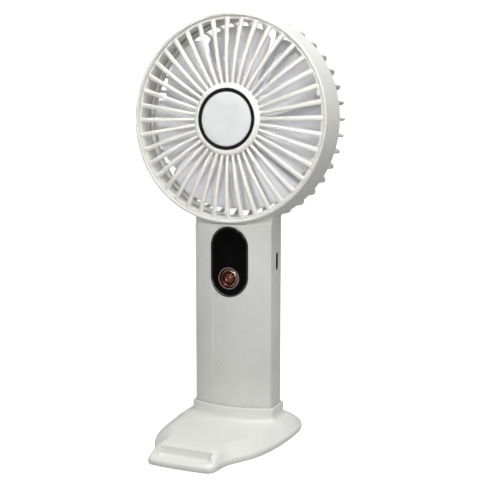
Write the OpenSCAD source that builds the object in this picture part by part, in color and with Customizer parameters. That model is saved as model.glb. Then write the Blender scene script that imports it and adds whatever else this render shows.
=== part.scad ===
// Handheld electric fan standing in its phone-holder foot.
// Origin: on the surface it stands on, under the middle of the handle. +Z is up, and the fan blows towards -Y.

/* [Head] */
// Height of the fan's axis above the surface it stands on
head_z = 155; // [150:0.5:160]
// Radius of the rim at its front edge
rim_front_r = 50; // [49.5:0.1:50.4]
// Radius of the rim at its rear edge
rim_rear_r = 51.3; // [51:0.1:51.6]
// Distance of the rim's front edge in front of the handle's middle
rim_front = 14; // [13:0.1:15]
// Depth of the solid rim
rim_depth = 16.3; // [15:0.1:17]
// Distance of the rear face behind the handle's middle
rear_face = 20; // [19.5:0.1:20.5]
// Number of front spokes and of rear ribs
spokes = 40; // [24:4:48]
// Radius of the collar round the hub of the front grille
hub_r = 17.2; // [16.8:0.1:17.6]
// Number of blades on the impeller
blades = 7; // [5:1:7]
// Radius of the blade tips
blade_r = 45; // [43:0.5:45.5]

/* [Handle] */
// Width of the handle across its flat sides
handle_w = 41; // [40.5:0.1:41.5]
// Depth of the flat sides
handle_side = 13.4; // [13:0.1:14]
// How far the front and back faces bulge past the flat sides
handle_bulge = 5.2; // [5:0.1:5.4]
// Thickness of the moulded walls
wall = 1.8; // [1.6:0.1:2]

/* [Panel] */
// Height of the middle of the display panel
panel_z = 86.05; // [85:0.05:87]
// Width of the display panel
panel_w = 19.1; // [18.5:0.1:19.5]
// Height of the display panel
panel_h = 33.9; // [33:0.1:34.5]
// Height of the middle of the power button
button_z = 77.9; // [77.5:0.1:78.3]
// Radius of the power button
button_r = 5.6; // [5.3:0.1:5.8]
// Travel of the power button
button_travel = 0.4; // [0.3:0.05:0.5]
// Height of the middle of the USB-C socket
usb_z = 85.9; // [85:0.1:87]

/* [Stand] */
// Height of the top of the collar
collar_top = 13.9; // [13:0.1:15]
// Wall of the collar round the handle
collar_wall = 1.4; // [1.3:0.05:1.6]
// Height of the socket's floor, where the handle rests
socket_floor = 3.2; // [3:0.1:3.6]
// Half of the width of the phone slot
slot_half = 13.4; // [12:0.1:14]
// Distance of the slot's rear wall in front of the handle's middle
slot_wall = 58; // [57:0.1:59]
// Height of the plate in front of the phone slot
lip_h = 3.9; // [3.6:0.1:4.2]

/* [Hidden] */

$fn = 96;
eps = 0.01;
white = [0.91, 0.90, 0.86];
dark = [0.05, 0.05, 0.05];
steel = [0.70, 0.70, 0.72];
copper = [0.72, 0.43, 0.25];

// Handle: two flat sides joined by two arcs
half_w = handle_w / 2;
half_side = handle_side / 2;
arc_r = (half_w * half_w + handle_bulge * handle_bulge) / (2 * handle_bulge);
front_y = -half_side - handle_bulge;
handle_bottom = socket_floor;

// Head, seen from its own axis: local z runs forwards from the middle of the handle
rim_back = rim_front - rim_depth;
grille_ring_r = rim_front_r - 1.6;
grille_ring_w = 1.3;
hub_face = rim_front + 0.6;
cage_in = rim_rear_r - 2.6;
cage_turn = 11;
rear_hub_r = 15.5;

// Motor, along the same axis
motor_seat = -rear_face + 3;
bush_top = -2.9;
shaft_r = 1;
core_low = -10;
core_high = -4;
can_r = 12.6;
can_low = -13.2;
can_high = -1.2;
impeller_hub_r = 14.4;
impeller_front = 9;
impeller_back = -13.6;
blade_root_angle = 72;
blade_tip_angle = 53;
blade_front_z = 4.5;
blade_rise = 11;
blade_t = 1.1;

// Boards behind the panel
board_front = -1.6;
board_t = 1.2;
board_low = 73.8;
board_high = 101.5;
lens_t = 2.4;
board_screw_at = [[-14.5, board_low + 2.2], [14.5, board_low + 2.2]];

// Stand fasteners and cavity
pad_t = 0.8;
cover_low = pad_t;
cover_high = 2.0;
cover_inset = 2.2;
cavity_top = 5.2;
screw_at = [[-24.6, -22], [24.6, -22], [-25.2, 6], [25.2, 6]];
handle_screw_at = [[-15.4, 20], [15.4, 20], [-15.4, 97], [15.4, 97]];

// Routes of the leads that the housing holds
motor_lead_route = [[7.9, 12.5, 152.2], [10.6, 14.9, 151.6], [13.6, 15, 150.6], [14.6, 15.1, 148.6],
    [12.7, 15.2, 145], [10.8, 15.3, 140], [9.5, 15.3, 130], [7.5, 15, 117], [4.4, 12.6, 110],
    [5, 9.5, 106], [6, 8.9, 102], [6, 7.5, 98], [6, 3, 95], [6, 0.4, 93.4]];
battery_lead_routes = [
    [[0, 0, 71.9], [4, 3, 72.4], [7, 5, 73.8], [8, 3.6, 76], [8, 0.2, 76.4]],
    [[-6, 6.5, 7.2], [-9.5, 8, 14], [-9.6, 8, 40], [-9.4, 7, 68], [-9, 3.6, 75.4], [-9, 0.2, 76.4]]];

module at_head() {
    translate([0, 0, head_z]) rotate([90, 0, 0]) children();
}

// Axis along +Y from y0 to y1
module y_rod(r, y0, y1, x = 0, z = 0) {
    translate([x, y1, z]) rotate([90, 0, 0]) cylinder(r = r, h = y1 - y0);
}

module box(x0, x1, y0, y1, z0, z1) {
    translate([x0, y0, z0]) cube([x1 - x0, y1 - y0, z1 - z0]);
}

// A lead of round section swept along a list of points
lead_sides = 8;
function unit(v) = v / norm(v);
function heading(points, i) =
    unit(points[min(i + 1, len(points) - 1)] - points[max(i - 1, 0)]);
module lead(points, d) {
    last = len(points) - 1;
    rim_points = [for (i = [0 : last])
        let (t = heading(points, i), a = unit(cross(t, [0.31, 0.93, 0.19])), b = cross(t, a))
        for (k = [0 : lead_sides - 1])
            points[i] + d / 2 * (a * cos(k * 360 / lead_sides) + b * sin(k * 360 / lead_sides))];
    sides = [for (i = [0 : last - 1]) for (k = [0 : lead_sides - 1])
        let (n = (k + 1) % lead_sides, low = i * lead_sides, high = low + lead_sides)
        each [[low + k, low + n, high + n], [low + k, high + n, high + k]]];
    start = [for (k = [lead_sides - 1 : -1 : 0]) k];
    end = [for (k = [0 : lead_sides - 1]) last * lead_sides + k];
    polyhedron(points = rim_points, faces = concat([start], sides, [end]));
}

// Points along a smooth curve through a list of points
function between(p, i, t) =
    let (a = p[max(i - 1, 0)], b = p[i], c = p[i + 1], d = p[min(i + 2, len(p) - 1)])
    0.5 * (2 * b + (c - a) * t + (2 * a - 5 * b + 4 * c - d) * t * t + (3 * b - a - 3 * c + d) * t * t * t);
function smooth(p, steps) = concat(
    [for (i = [0 : len(p) - 2]) for (k = [0 : steps - 1]) between(p, i, k / steps)], [p[len(p) - 1]]);

function bezier(a, b, c, d, t) =
    pow(1 - t, 3) * a + 3 * pow(1 - t, 2) * t * b + 3 * (1 - t) * t * t * c + t * t * t * d;

// ---- Handle ----

module handle_outline(grow = 0) {
    centre = half_side + handle_bulge - arc_r;
    intersection() {
        square([handle_w + 2 * grow, 2 * (half_side + handle_bulge + grow)], center = true);
        translate([0, centre]) circle(r = arc_r + grow, $fn = 192);
        translate([0, -centre]) circle(r = arc_r + grow, $fn = 192);
    }
}

module panel_outline(grow = 0) {
    reach = (panel_h - panel_w) / 2;
    translate([0, panel_z]) {
        square([panel_w + 2 * grow, 2 * reach], center = true);
        for (side = [-1, 1]) translate([0, side * reach]) circle(r = panel_w / 2 + grow);
    }
}

// The panel's outline carried through the wall, from y0 to y1
module panel_block(grow, y0, y1) {
    translate([0, y1, 0]) rotate([90, 0, 0]) linear_extrude(y1 - y0) panel_outline(grow);
}

module handle_inside() {
    difference() {
        translate([0, 0, handle_bottom + wall]) linear_extrude(110) handle_outline(-wall);
        at_head() translate([0, 0, -40]) cylinder(r = rim_rear_r + wall, h = 80);
    }
}

// Space of the back cover: everything behind the flat sides
module back_half(y) {
    box(-40, 40, y, 40, -1, 130);
}

module screw_bosses(r) {
    for (p = handle_screw_at) y_rod(r, front_y + 2.6, half_side - 0.9, p.x, p.y);
}

module front_housing() {
    color(white) difference() {
        union() {
            difference() {
                translate([0, 0, handle_bottom]) linear_extrude(110 - handle_bottom) handle_outline();
                handle_inside();
                at_head() translate([0, 0, -40]) cylinder(r = rim_rear_r, h = 40 + rim_back);
                at_head() translate([0, 0, rim_back - 1]) cylinder(r = rim_front_r - 0.8, h = 40);
                back_half(half_side);
            }
            // Screw bosses, posts for the main board, and the ledge behind the panel
            intersection() {
                union() {
                    screw_bosses(2.6);
                    for (p = board_screw_at) y_rod(1.7, front_y + 1, board_front, p.x, p.y);
                    difference() {
                        panel_block(1.6, front_y + 1, front_y + lens_t + 1);
                        panel_block(-1.2, front_y, front_y + 6);
                    }
                }
                translate([0, 0, handle_bottom]) linear_extrude(100) handle_outline(-0.5);
            }
            at_head() rotate_extrude($fn = 192) rim_section();
        }
        for (p = handle_screw_at) y_rod(0.95, front_y + 4, half_side, p.x, p.y);
        for (p = board_screw_at) y_rod(0.6, board_front - 4, board_front + 1, p.x, p.y);
        panel_block(0.5, front_y - 1, front_y + lens_t);
        panel_block(-1.2, front_y - 1, front_y + 4);
        usb_opening();
    }
}

// Rim: a wall that flares backwards, with a rounded front edge and a ledge for the grille
module rim_section() {
    edge = 0.8;
    polygon([[rim_front_r - 2 * edge, rim_front - edge], [rim_front_r, rim_front - edge],
        [rim_rear_r, rim_back], [rim_rear_r - wall, rim_back], [rim_front_r - 2.4, rim_front - 6],
        [rim_front_r - 1.6, rim_front - 6]]);
    translate([rim_front_r - edge, rim_front - edge]) circle(r = edge, $fn = 32);
}

module usb_opening() {
    for (side = [-1, 1])
        translate([half_w - wall - 2, 1.2, usb_z + side * 2.95]) rotate([0, 90, 0])
            cylinder(r = 1.6, h = wall + 3, $fn = 32);
    box(half_w - wall - 2, half_w + 1, -0.4, 2.8, usb_z - 2.95, usb_z + 2.95);
}

module handle_back() {
    color(white) difference() {
        union() {
            difference() {
                intersection() {
                    translate([0, 0, handle_bottom]) linear_extrude(107 - handle_bottom) handle_outline();
                    back_half(half_side);
                }
                handle_inside();
                at_head() translate([0, 0, -40]) cylinder(r = rim_rear_r, h = 80);
            }
            intersection() {
                for (p = handle_screw_at) y_rod(3, half_side, half_side + 4.2, p.x, p.y);
                translate([0, 0, handle_bottom]) linear_extrude(100) handle_outline(-0.5);
            }
        }
        for (p = handle_screw_at) {
            y_rod(1.15, half_side - 1, half_side + 8, p.x, p.y);
            y_rod(2.05, half_side + 0.5, half_side + 8, p.x, p.y);
        }
        // Way for the motor leads, up into the head
        translate([6, 8.9, 98]) cylinder(d = 3, h = 10, $fn = 32);
    }
}

module handle_screws() {
    color(steel) for (p = handle_screw_at) difference() {
        union() {
            y_rod(0.95, front_y + 5, half_side + 0.5, p.x, p.y);
            y_rod(1.9, half_side + 0.5, half_side + 1.5, p.x, p.y);
        }
        for (turn = [0, 90])
            translate([p.x, half_side + 1.5, p.y]) rotate([0, turn, 0]) cube([2.2, 1.2, 0.5], center = true);
    }
}

// ---- Head ----

// A spoke as it is seen from the side: it arches forwards between the hub and the grille's ring
module spoke_side() {
    rise = 1.6;
    span = grille_ring_r - grille_ring_w / 2 - hub_r + 1;
    bow_r = (span * span / 4 + rise * rise) / (2 * rise);
    translate([hub_r - 1 + span / 2, rim_front - 0.8 + rise - bow_r]) intersection() {
        difference() {
            circle(r = bow_r, $fn = 360);
            circle(r = bow_r - 1.9, $fn = 360);
        }
        translate([-span / 2, 0]) square([span, bow_r + 1]);
    }
}

// A spoke as it is seen from the front: it widens towards the rim
module spoke_front() {
    polygon([[hub_r - 1, -0.7], [grille_ring_r, -1.25], [grille_ring_r, 1.25], [hub_r - 1, 0.7]]);
}

module front_grille() {
    color(white) at_head() {
        for (i = [0 : spokes - 1]) rotate([0, 0, i * 360 / spokes]) intersection() {
            rotate([90, 0, 0]) translate([0, 0, -2]) linear_extrude(4) spoke_side();
            linear_extrude(rim_front + 4) spoke_front();
        }
        // Ring that seats in the rim; round pieces start between two spokes
        rotate([0, 0, 180 / spokes]) translate([0, 0, rim_front - 6]) difference() {
            cylinder(r = grille_ring_r, h = 4.9, $fn = 192);
            translate([0, 0, -1]) cylinder(r = grille_ring_r - grille_ring_w, h = 8, $fn = 192);
        }
        // Collar of the hub, with its bevelled edge, and its back wall
        rotate([0, 0, 180 / spokes]) rotate_extrude() polygon([[0, hub_face - 2.2], [0, hub_face - 3.6],
            [hub_r - 0.6, hub_face - 3.6], [hub_r, hub_face - 3], [hub_r, hub_face - 1],
            [hub_r - 0.9, hub_face - 0.2], [14.7, hub_face], [14.7, hub_face - 2.2]]);
    }
}

module hub_ring() {
    color(dark) at_head() translate([0, 0, hub_face - 2.2]) difference() {
        cylinder(r = 14.7, h = 1.9);
        translate([0, 0, -1]) cylinder(r = 13, h = 4);
    }
}

module hub_disc() {
    color([0.88, 0.90, 0.89]) at_head() rotate_extrude()
        polygon([[0, hub_face - 2.2], [13, hub_face - 2.2], [13, hub_face - 0.5], [12.6, hub_face - 0.1],
            [0, hub_face + 0.1]]);
}

// A rear rib as it is seen from the side: straight back from the rim, then round and in to the hub
module rib_side() {
    turn_at = rim_rear_r - cage_turn;
    depth = 2.6;
    translate([cage_in, -rear_face + cage_turn]) square([depth, rear_face - cage_turn + rim_back - 0.3]);
    translate([turn_at, -rear_face + cage_turn]) intersection() {
        difference() {
            circle(r = cage_turn);
            circle(r = cage_turn - depth);
        }
        translate([0, -cage_turn - 1]) square([cage_turn + 1, cage_turn + 1]);
    }
    translate([rear_hub_r - 1, -rear_face]) square([turn_at - rear_hub_r + 1, depth]);
}

module rear_grille() {
    color(white) at_head() {
        for (i = [0 : spokes - 1]) rotate([90, 0, i * 360 / spokes])
            translate([0, 0, -0.7]) linear_extrude(1.4) rib_side();
        rotate([0, 0, 180 / spokes]) rear_rings();
    }
}

// Ring inside the rim, a middle hoop, and the hub with its seat for the motor
module rear_rings() {
    difference() {
        union() {
            translate([0, 0, rim_back - 1.4]) cylinder(r = rim_rear_r - 0.3, h = 1.4, $fn = 192);
            translate([0, 0, rim_back - 1.4]) cylinder(r = rim_rear_r - 2.6, h = 4.4, $fn = 192);
        }
        translate([0, 0, rim_back - 4]) cylinder(r = rim_rear_r - 4, h = 10, $fn = 192);
    }
    translate([0, 0, -rear_face + 0.5]) difference() {
        cylinder(r = 32.9, h = 1.7);
        translate([0, 0, -1]) cylinder(r = 31.1, h = 4);
    }
    difference() {
        translate([0, 0, -rear_face - 0.4]) cylinder(r = rear_hub_r, h = 3.4);
        translate([0, 0, -rear_face - 1]) cylinder(r = rear_hub_r - 1.6, h = 2.2);
        for (i = [0 : 2]) rotate([0, 0, 30 + 120 * i - 180 / spokes]) translate([8.5, 0, -rear_face - 1])
            cylinder(r = 0.95, h = 6, $fn = 32);
    }
}

module rear_cap() {
    color(white) at_head() rotate_extrude()
        polygon([[0, -rear_face - 0.8], [rear_hub_r - 3, -rear_face - 0.8], [rear_hub_r - 1.7, -rear_face - 0.2],
            [rear_hub_r - 1.7, -rear_face + 1.2], [0, -rear_face + 1.2]]);
}

// ---- Motor ----

module motor_base() {
    color(steel) at_head() difference() {
        union() {
            translate([0, 0, motor_seat]) cylinder(r = 10.6, h = 1.2);
            translate([0, 0, motor_seat]) cylinder(r = 3.4, h = bush_top - motor_seat);
        }
        translate([0, 0, motor_seat + 1]) cylinder(r = 2.5, h = 30);
        for (i = [0 : 2]) rotate([0, 0, 30 + 120 * i]) translate([8.5, 0, motor_seat - 1])
            cylinder(r = 1.15, h = 4, $fn = 32);
    }
}

module motor_screws() {
    color(steel) at_head() for (i = [0 : 2]) rotate([0, 0, 30 + 120 * i]) translate([8.5, 0, 0]) {
        translate([0, 0, motor_seat - 1.7]) cylinder(r = 0.95, h = 2.9, $fn = 32);
        translate([0, 0, motor_seat + 1.2]) cylinder(r = 1.7, h = 0.7, $fn = 32);
    }
}

module motor_board() {
    color([0.10, 0.35, 0.20]) at_head() translate([0, 0, core_low - 1.9]) difference() {
        cylinder(r = 10.2, h = 0.8);
        translate([0, 0, -1]) cylinder(r = 3.4, h = 3);
    }
}

// Stator: a ring with nine T-shaped teeth
module stator_core() {
    color([0.35, 0.36, 0.38]) at_head() translate([0, 0, core_low]) linear_extrude(core_high - core_low) {
        difference() {
            union() {
                circle(r = 4.8);
                for (i = [0 : 8]) rotate(i * 40) {
                    translate([4, -0.8]) square([6, 1.6]);
                    intersection() {
                        translate([9, -2.6]) square([2, 5.2]);
                        circle(r = 10.4);
                    }
                }
            }
            circle(r = 3.4);
        }
    }
}

module stator_coils() {
    color(copper) at_head() for (i = [0 : 8]) rotate([0, 0, i * 40]) difference() {
        translate([5.8, -1.6, core_low - 0.8]) cube([3, 3.2, core_high - core_low + 1.6]);
        translate([5, -0.8, core_low]) cube([5, 1.6, core_high - core_low]);
    }
}

module motor_bearings() {
    for (low = [motor_seat + 2, bush_top - 2.5]) color(steel) at_head() translate([0, 0, low]) difference() {
        cylinder(r = 2.5, h = 2.3);
        translate([0, 0, -1]) cylinder(r = shaft_r + 0.02, h = 5);
    }
}

module motor_shaft() {
    color(steel) at_head() translate([0, 0, motor_seat + 1.4]) cylinder(r = shaft_r, h = 20, $fn = 48);
}

module rotor_can() {
    color(steel) at_head() difference() {
        translate([0, 0, can_low]) cylinder(r = can_r, h = can_high - can_low);
        translate([0, 0, can_low - 1]) cylinder(r = can_r - 0.7, h = can_high - can_low);
        cylinder(r = shaft_r, h = 20, center = true, $fn = 48);
    }
}

module magnet_ring() {
    color([0.2, 0.2, 0.22]) at_head() translate([0, 0, can_low + 0.4]) difference() {
        cylinder(r = can_r - 0.7, h = 9.6);
        translate([0, 0, -1]) cylinder(r = can_r - 1.8, h = 12);
    }
}

// A blade is a thin helical sheet, wider at its root than at its tip. Its leading edge lies to the rear.
blade_cuts = [6, 10];
function blade_point(u, v, side) =
    let (turn = (blade_root_angle + (blade_tip_angle - blade_root_angle) * u) * (v - 0.5))
    let (tip = blade_r - 2.5 * pow(abs(2 * v - 1), 5))
    let (r = impeller_hub_r - 0.8 + u * (tip - impeller_hub_r + 0.8), bow = 1.5 * sin(180 * v) * u)
    [r * cos(turn), r * sin(turn), blade_front_z - blade_rise * v + bow + side * blade_t / 2];
module blade() {
    nu = blade_cuts[0];
    nv = blade_cuts[1];
    row = nv + 1;
    sheet = (nu + 1) * row;
    points = [for (side = [1, -1]) for (i = [0 : nu]) for (j = [0 : nv]) blade_point(i / nu, j / nv, side)];
    faces = concat(
        [for (i = [0 : nu - 1]) for (j = [0 : nv - 1]) let (a = i * row + j, b = a + row)
            each [[a, a + 1, b + 1], [a, b + 1, b], [sheet + a, sheet + b + 1, sheet + a + 1],
                [sheet + a, sheet + b, sheet + b + 1]]],
        [for (j = [0 : nv - 1]) let (a = j, b = nu * row + j)
            each [[a, sheet + a + 1, a + 1], [a, sheet + a, sheet + a + 1],
                [b, b + 1, sheet + b + 1], [b, sheet + b + 1, sheet + b]]],
        [for (i = [0 : nu - 1]) let (a = i * row, b = a + nv)
            each [[a, a + row, sheet + a + row], [a, sheet + a + row, sheet + a],
                [b, sheet + b + row, b + row], [b, sheet + b, sheet + b + row]]]);
    polyhedron(points = points, faces = faces);
}

module impeller() {
    color([0.80, 0.81, 0.82, 0.8]) at_head() {
        for (i = [0 : blades - 1]) rotate([0, 0, 90 + i * 360 / blades]) blade();
        difference() {
            translate([0, 0, impeller_back]) cylinder(r = impeller_hub_r, h = impeller_front - impeller_back);
            translate([0, 0, impeller_back - 1]) cylinder(r = can_r, h = can_high - impeller_back + 1);
            translate([0, 0, can_high + 1.6]) cylinder(r = impeller_hub_r - 1.4, h = 20);
            cylinder(r = shaft_r, h = 40, center = true, $fn = 48);
        }
        translate([0, 0, can_high]) difference() {
            cylinder(r = 3.2, h = 5.6);
            translate([0, 0, -1]) cylinder(r = shaft_r, h = 10, $fn = 48);
        }
    }
}

// Three thin leads from the sensor board, over the back of the cage and down into the handle
module motor_leads() {
    color(dark) lead(smooth(motor_lead_route, 4), 1.6);
}

// ---- Panel and boards ----

module panel_bezel() {
    color(dark) intersection() {
        difference() {
            panel_block(0.5, front_y - 1, front_y + lens_t);
            panel_block(-0.5, front_y - 2, front_y + 4);
        }
        linear_extrude(120) handle_outline(0.25);
    }
}

module panel_lens() {
    color([0.03, 0.03, 0.03]) difference() {
        intersection() {
            panel_block(-0.5, front_y - 1, front_y + lens_t);
            linear_extrude(120) handle_outline();
        }
        y_rod(button_r + 0.2, front_y - 3, front_y + 5, 0, button_z);
    }
}

module display_module() {
    color([0.85, 0.85, 0.82]) box(-6.2, 6.2, board_front - 6, board_front, 87, 99.5);
}

module main_board() {
    color([0.08, 0.30, 0.16]) difference() {
        box(-17, 17, board_front, board_front + board_t, board_low, board_high);
        for (p = board_screw_at) y_rod(0.6, -5, 5, p.x, p.y);
        for (p = handle_screw_at) y_rod(3.1, -5, 5, p.x, p.y);
    }
}

module board_chips() {
    y = board_front + board_t;
    color(dark) {
        box(-4, 3, y, y + 1.2, 90, 97);
        box(-11, -6, y, y + 1, 84, 88.5);
        box(-12, -7, y, y + 3, 92, 97);
        box(4, 9, y, y + 1.4, 78, 83);
    }
}

module board_screws() {
    color(steel) for (p = board_screw_at) {
        y_rod(0.6, board_front - 3, board_front + board_t, p.x, p.y);
        y_rod(1.2, board_front + board_t, board_front + board_t + 0.6, p.x, p.y);
    }
}

module usb_port() {
    inner = 11.6;
    color(steel) difference() {
        union() {
            for (side = [-1, 1])
                translate([inner, 1.2, usb_z + side * 2.87]) rotate([0, 90, 0])
                    cylinder(r = 1.6, h = half_w - 0.5 - inner, $fn = 32);
            box(inner, half_w - 0.5, -0.4, 2.8, usb_z - 2.87, usb_z + 2.87);
        }
        for (side = [-1, 1])
            translate([inner + 1.2, 1.2, usb_z + side * 2.87]) rotate([0, 90, 0])
                cylinder(r = 1.3, h = 12, $fn = 32);
        box(inner + 1.2, 30, -0.1, 2.5, usb_z - 2.87, usb_z + 2.87);
    }
    color(dark) box(inner + 1, half_w - 1.6, 0.85, 1.55, usb_z - 3.3, usb_z + 3.3);
}

module tact_switch() {
    color(dark) difference() {
        box(-3, 3, board_front - 3.4, board_front, button_z - 3, button_z + 3);
        y_rod(1.8, board_front - 5, board_front - 0.8, 0, button_z);
    }
}

module switch_plunger() {
    color([0.75, 0.75, 0.72]) y_rod(1.4, front_y + 4.4, board_front - 1.6, 0, button_z);
}

module power_button() {
    face = front_y + 0.25;
    color([0.72, 0.50, 0.42]) difference() {
        union() {
            y_rod(button_r, face, face + 3, 0, button_z);
            y_rod(2.4, face + 3, front_y + 4.4, 0, button_z);
        }
        difference() {
            y_rod(button_r - 0.9, face - 1, face + 0.5, 0, button_z);
            y_rod(3.2, face - 2, face + 2, 0, button_z);
        }
        difference() {
            y_rod(2.6, face - 1, face + 0.3, 0, button_z);
            y_rod(1.5, face - 2, face + 2, 0, button_z);
        }
    }
}

module battery_cell() {
    color([0.25, 0.45, 0.70]) {
        translate([0, 0, 6.4]) cylinder(r = 8.3, h = 64);
        translate([0, 0, 70.4]) cylinder(r = 3, h = 0.9);
    }
}

module battery_leads() {
    for (route = battery_lead_routes) color([0.75, 0.1, 0.1]) lead(smooth(route, 3), 1.1);
}

// ---- Stand ----

// Half of the foot's outline, from the middle of the nose round to the middle of the rear edge
foot_curves = [
    [[0, -66.8], [5, -66.8], [9.6, -66.6], [13.2, -66.2]],
    [[13.2, -66.2], [16.3, -65.6], [17, -63], [17.2, -59.5]],
    [[17.2, -59.5], [17.8, -52], [20.6, -49.8], [23.9, -44]],
    [[23.9, -44], [29.2, -35.5], [31.9, -20], [31.9, 0]],
    [[31.9, 0], [32, 10], [29, 17.5], [23, 19.6]],
    [[23, 19.6], [16, 21.4], [8, 21.6], [0, 21.6]]];
curve_steps = [2, 5, 6, 8, 7, 3];
foot_half = [for (k = [0 : 5]) for (i = [0 : curve_steps[k] - 1])
    bezier(foot_curves[k][0], foot_curves[k][1], foot_curves[k][2], foot_curves[k][3], i / curve_steps[k])];
last_half = len(foot_half) - 1;
foot_outline = concat(foot_half, [[0, 21.6]], [for (i = [last_half : -1 : 1]) [-foot_half[i].x, foot_half[i].y]]);

// Distance from the middle of the collar to its wall in a direction, as a fraction of the vector v
collar_w = half_w + collar_wall;
collar_arc = arc_r + collar_wall;
collar_c = arc_r - half_side - handle_bulge;
function arc_reach(v, n = 0) =
    let (b = abs(v.y) * collar_c, a = v * v, c = collar_c * collar_c - collar_arc * collar_arc)
    (-b + sqrt(b * b - a * c)) / a;
function collar_reach(v) = min(arc_reach(v), collar_w / max(abs(v.x), eps));

// Section of the foot from its outline in to the collar: [distance inwards, height] over a length.
// It has a low rounded edge, a slope up to its flat top, and a fillet at the foot of the collar.
edge_h = 3.3;
edge_in = 0.95;
top_h = 7.4;
flare = 2.4;
function foot_section(length) =
    let (run = min(length - flare, 11.5) - edge_in)
    [[0.4, 0.3], [0, 0.7], [0, 1.9], [0.3, 2.7],
        each [for (f = [0 : 0.25 : 1]) [edge_in + f * run, edge_h + (top_h - edge_h) * f * (2 - f)]],
        each [for (a = [35, 60, 90]) [length - flare * (1 - sin(a)), top_h + flare * (1 - cos(a))]],
        [length, collar_top - 0.5], [length + 0.3, collar_top], [length + collar_wall + 3, collar_top]];

// In front of the phone slot the nose steps down to a low plate
step_back = -59.2;
step_front = -61.8;
function nose_height(y) =
    y < step_front ? lip_h : y < step_back ? lip_h + 3.6 * (y - step_front) / (step_back - step_front) : 99;
rings = len(foot_section(20));
per_ring = len(foot_outline);
function foot_point(p, k) =
    let (wall_point = p * collar_reach(p), length = norm(p - wall_point), s = foot_section(length)[k])
    let (q = p + (wall_point - p) * s[0] / length)
    [q.x, q.y, min(s[1], nose_height(q.y))];

module foot_solid() {
    points = [for (k = [0 : rings - 1]) for (p = foot_outline) foot_point(p, k)];
    sides = [for (k = [0 : rings - 2]) for (i = [0 : per_ring - 1])
        let (j = (i + 1) % per_ring, low = k * per_ring, high = low + per_ring)
        each [[low + i, high + i, low + j], [low + j, high + i, high + j]]];
    bottom = [for (i = [0 : per_ring - 1]) i];
    top = [for (i = [per_ring - 1 : -1 : 0]) (rings - 1) * per_ring + i];
    polyhedron(points = points, faces = concat(sides, [bottom], [top]));
}

module foot_plan(inset) {
    offset(delta = -inset) polygon(foot_outline);
}

module stand_shell() {
    floor_z = 3;
    color(white) difference() {
        union() {
            difference() {
                foot_solid();
                // Phone slot: its floor lies a little lower than the plate in front of it
                box(-slot_half, slot_half, -slot_wall - 5, -slot_wall, floor_z, 20);
                // Hollow underside
                intersection() {
                    translate([0, 0, -1]) linear_extrude(1 + cavity_top) foot_plan(cover_inset + 1.2);
                    box(-40, 40, -52, 40, -1, 3);
                }
                intersection() {
                    translate([0, 0, -1]) linear_extrude(1 + cavity_top) foot_plan(8);
                    box(-40, 40, -52, 40, -1, cavity_top);
                }
                translate([0, 0, -1]) linear_extrude(1 + cover_high) foot_plan(cover_inset);
            }
            // Socket block and screw posts
            translate([0, 0, cover_high]) linear_extrude(5) handle_outline(collar_wall);
            for (p = screw_at) translate([p.x, p.y, cover_high]) cylinder(r = 2.2, h = 3.4, $fn = 32);
        }
        translate([0, 0, socket_floor]) linear_extrude(20) handle_outline(0.3);
        for (p = screw_at) translate([p.x, p.y, 0]) cylinder(r = 0.9, h = 4.8, $fn = 32);
    }
}

module stand_cover() {
    color(white) difference() {
        translate([0, 0, cover_low]) linear_extrude(cover_high - cover_low) foot_plan(cover_inset + 0.2);
        for (p = screw_at) {
            translate([p.x, p.y, 0]) cylinder(r = 1.1, h = 5, $fn = 32);
            translate([p.x, p.y, 0]) cylinder(r = 1.9, h = cover_low + 0.7, $fn = 32);
        }
    }
}

module stand_screws() {
    color(steel) for (p = screw_at) translate([p.x, p.y, 0]) {
        translate([0, 0, cover_low]) cylinder(r = 1.8, h = 0.7, $fn = 32);
        translate([0, 0, cover_low + 0.7]) cylinder(r = 0.9, h = 2.6, $fn = 32);
    }
}

module stand_pad() {
    color([0.75, 0.75, 0.73]) linear_extrude(pad_t) foot_plan(cover_inset + 1);
}

stand_shell();
stand_cover();
stand_screws();
stand_pad();
front_housing();
handle_back();
handle_screws();
front_grille();
hub_ring();
hub_disc();
rear_grille();
rear_cap();
motor_base();
stator_core();
stator_coils();
motor_board();
motor_bearings();
motor_screws();
motor_leads();
panel_bezel();
panel_lens();
display_module();
main_board();
board_chips();
board_screws();
usb_port();
tact_switch();
battery_cell();
battery_leads();
motor_shaft();
rotor_can();
magnet_ring();
impeller();
power_button();
switch_plunger();
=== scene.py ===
from math import asin, copysign, cos, hypot, pi, radians, sin, sqrt

import bmesh
import bpy
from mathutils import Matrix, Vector


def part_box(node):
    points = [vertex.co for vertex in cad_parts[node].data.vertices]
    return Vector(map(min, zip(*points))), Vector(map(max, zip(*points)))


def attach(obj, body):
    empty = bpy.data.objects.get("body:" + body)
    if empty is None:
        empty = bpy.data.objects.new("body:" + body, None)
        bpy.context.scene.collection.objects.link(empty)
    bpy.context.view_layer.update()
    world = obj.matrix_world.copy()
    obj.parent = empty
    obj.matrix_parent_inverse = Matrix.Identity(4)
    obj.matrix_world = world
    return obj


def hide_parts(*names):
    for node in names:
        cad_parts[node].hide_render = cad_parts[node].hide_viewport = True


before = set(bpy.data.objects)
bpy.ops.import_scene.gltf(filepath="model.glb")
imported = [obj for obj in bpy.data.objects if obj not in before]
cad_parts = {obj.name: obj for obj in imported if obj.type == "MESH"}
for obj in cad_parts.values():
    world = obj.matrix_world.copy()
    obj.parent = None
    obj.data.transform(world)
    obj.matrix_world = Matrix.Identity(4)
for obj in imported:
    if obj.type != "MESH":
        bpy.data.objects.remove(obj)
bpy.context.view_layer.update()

# ---- Foot shell ----
# The foot is one injection moulding in glossy white ABS: a low, rounded plate with a collar that the
# handle stands in and a slot across its nose for a phone. Every edge leaves the mould with a small radius.

mm = 0.001


def node_box(node):
    """Lowest and highest corner of a CAD node, in millimetres."""
    low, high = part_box(node)
    return low / mm, high / mm


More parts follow.
